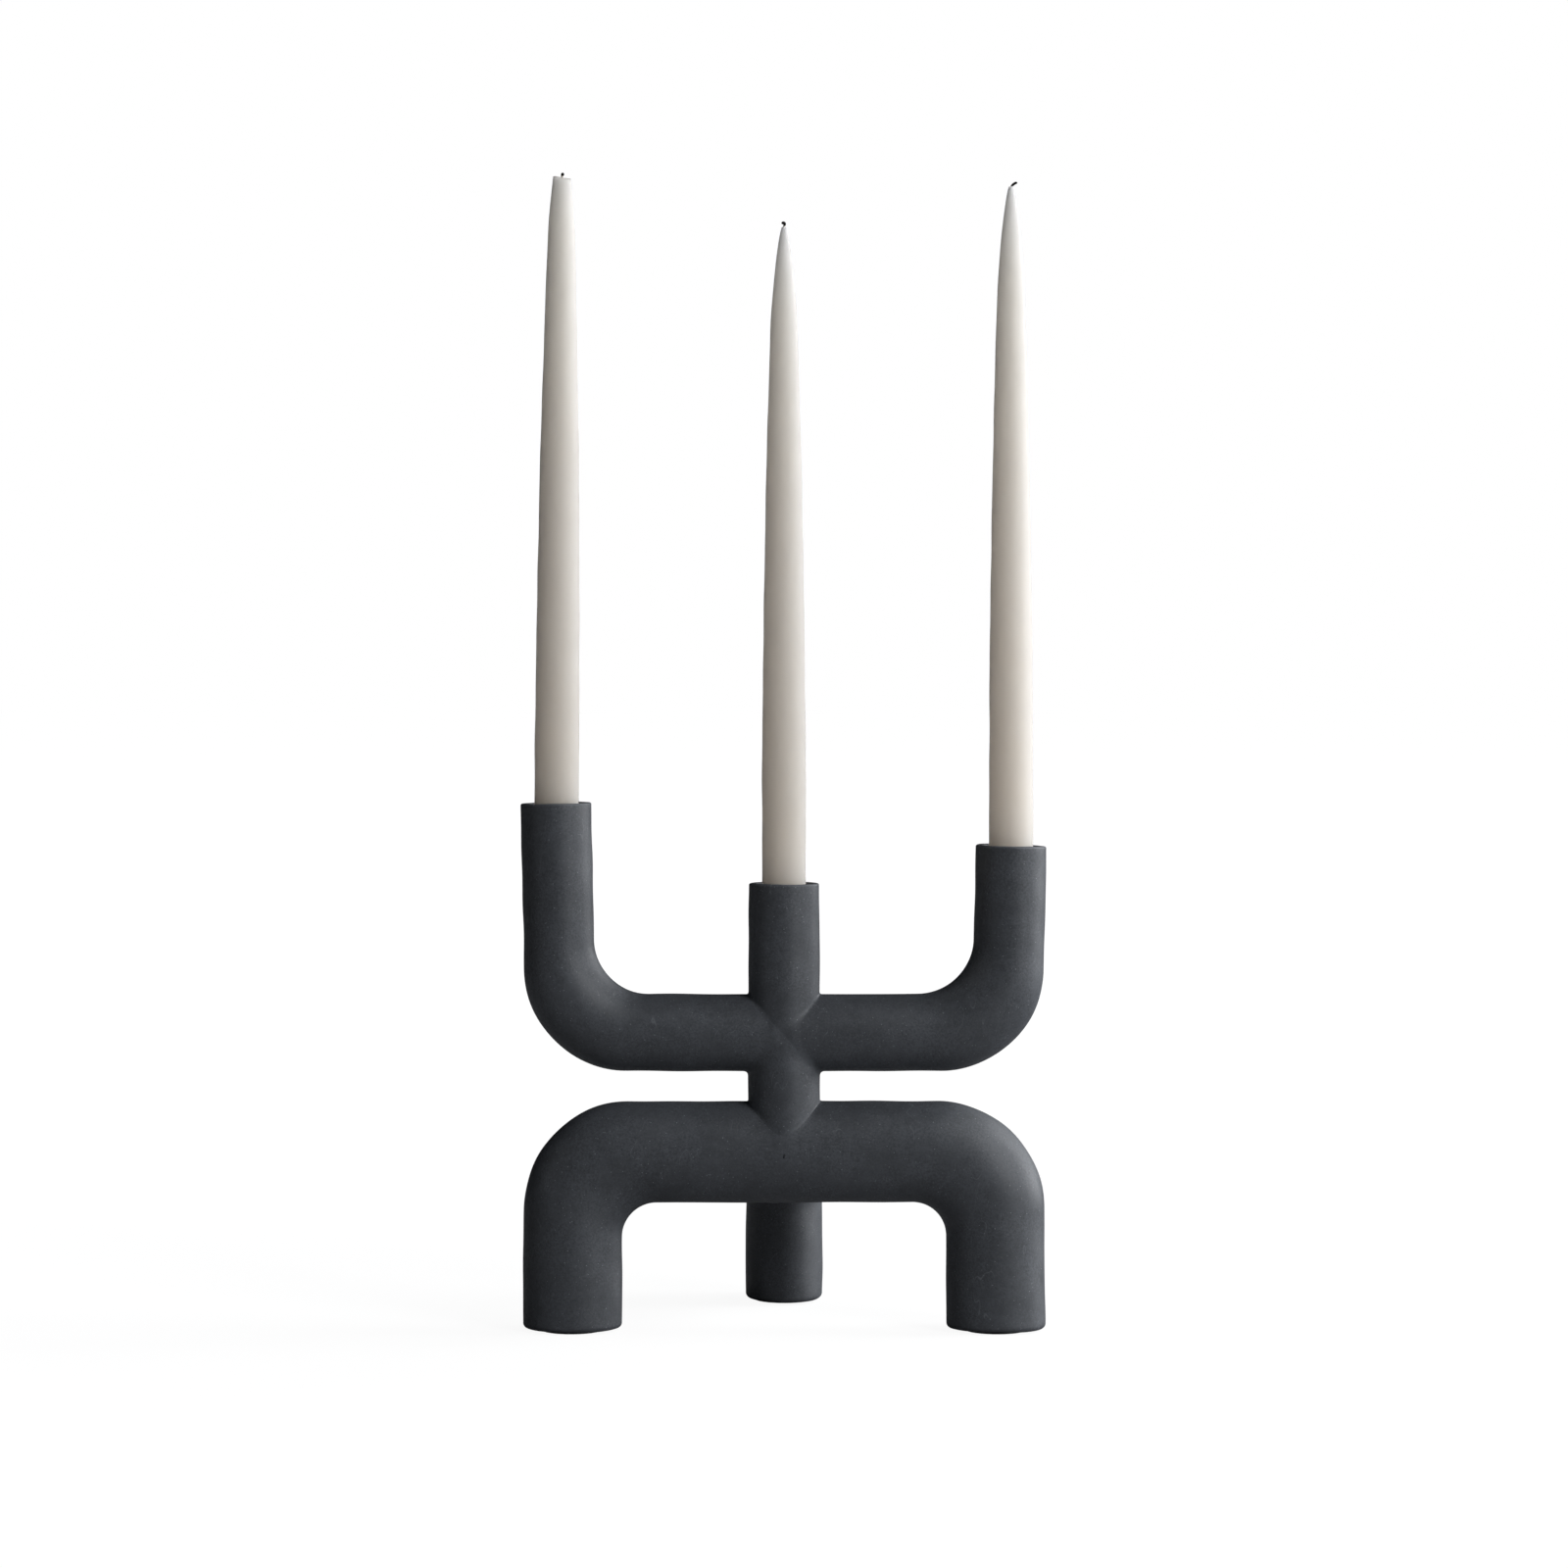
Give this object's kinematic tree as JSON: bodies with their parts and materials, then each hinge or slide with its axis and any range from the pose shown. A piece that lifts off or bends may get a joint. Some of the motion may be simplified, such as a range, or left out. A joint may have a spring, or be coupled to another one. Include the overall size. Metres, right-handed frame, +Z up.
{
  "type": "tabletop candelabra",
  "caption": "Tabletop candelabra of luted ceramic tubes: an arched base with a rear leg carries a column, two upswept arms and stepped cups with dipped taper candles.",
  "frame": {"origin": "on the surface that the feet stand on, under the middle of the object's box", "axes": "+Z up, +X from the column to the right cup, +Y from the front arch to the rear leg"},
  "size_m": [0.2788, 0.1598, 0.6151],
  "materials": {
    "stoneware": "matte charcoal with fine pale specks",
    "socket_stoneware": "unglazed dark stoneware",
    "felt": "pressed grey felt",
    "wax": "satin dipped candle wax, warm greige",
    "wick": "braided cotton with a charred end"
  },
  "bodies": {
    "holder": {"left_arm": "stoneware", "right_arm": "stoneware", "middle_cup": "stoneware", "neck": "stoneware", "front_arch": "stoneware", "rear_leg": "stoneware", "left_socket": "socket_stoneware", "middle_socket": "socket_stoneware", "right_socket": "socket_stoneware", "left_foot_pad": "felt", "right_foot_pad": "felt", "rear_foot_pad": "felt"},
    "left_taper": {"left_candle": "wax", "left_wick": "wick"},
    "middle_taper": {"middle_candle": "wax", "middle_wick": "wick"},
    "right_taper": {"right_candle": "wax", "right_wick": "wick"}
  },
  "joints": [
    {"name": "left_candle_lift", "type": "slide", "parent": "holder", "child": "left_taper", "axis": [0.0087, 0, 1], "range_m": [0, 0.06]},
    {"name": "middle_candle_lift", "type": "slide", "parent": "holder", "child": "middle_taper", "axis": [0, 0, 1], "range_m": [0, 0.06]},
    {"name": "right_candle_lift", "type": "slide", "parent": "holder", "child": "right_taper", "axis": [0, 0, 1], "range_m": [0, 0.06]}
  ]
}
